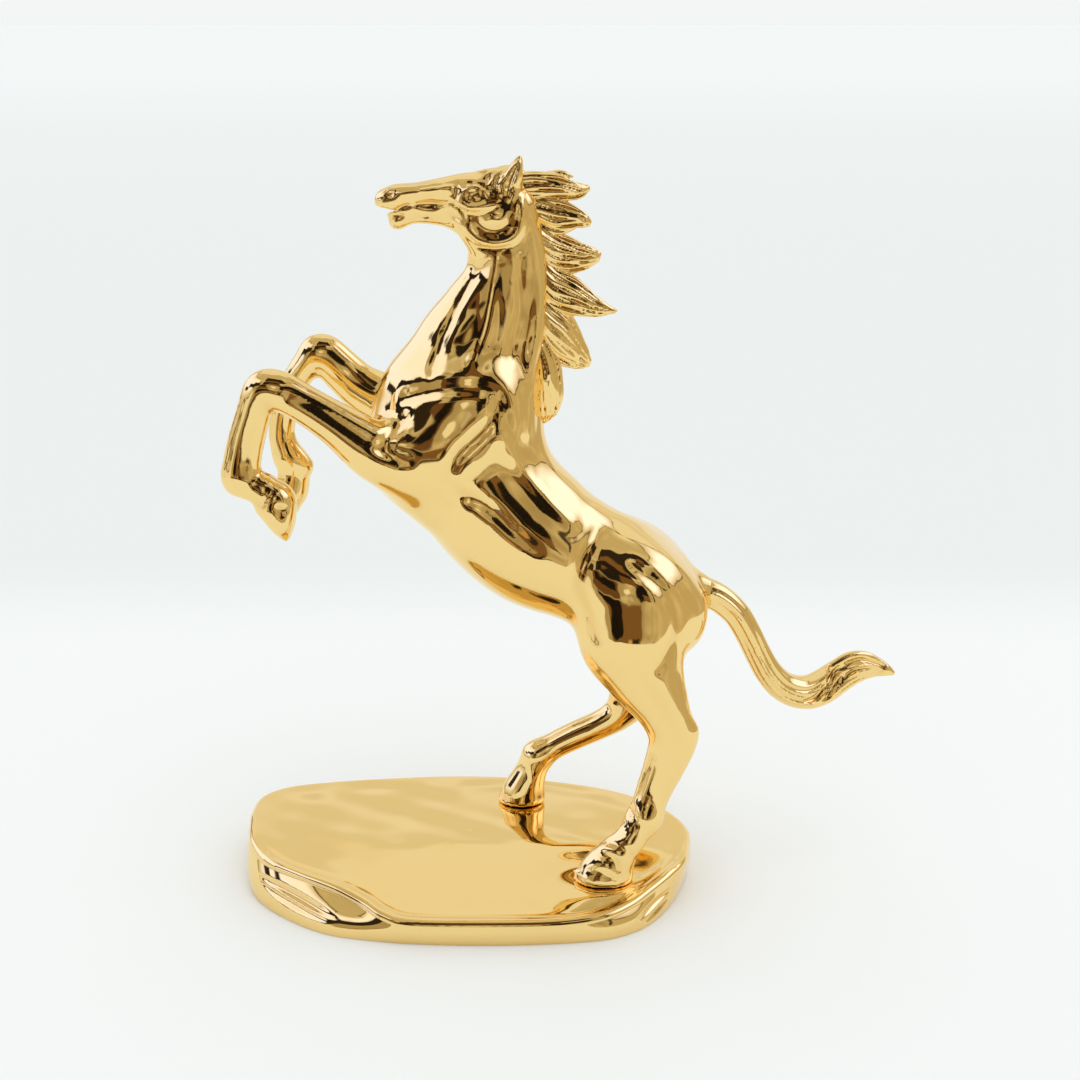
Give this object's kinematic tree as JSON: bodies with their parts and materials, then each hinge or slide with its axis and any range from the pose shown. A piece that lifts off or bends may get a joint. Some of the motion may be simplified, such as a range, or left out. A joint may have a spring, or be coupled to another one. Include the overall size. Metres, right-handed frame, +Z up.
{
  "type": "rearing horse sculpture",
  "caption": "Polished gold figurine of a horse rearing on its hind hooves, mane and tail flying, on a low irregular slab plinth",
  "frame": {"origin": "middle of the plinth's underside, on the surface the sculpture stands on", "axes": "+Z up; the horse faces -X and its left side faces -Y; the tail streams out to +X"},
  "size_m": [0.2585, 0.1118, 0.2802],
  "materials": {
    "gold": "mirror-polished gold plating",
    "plinth_gold": "mirror-polished gold plating"
  },
  "bodies": {
    "root": {"horse": "gold", "plinth": "plinth_gold"}
  },
  "joints": []
}
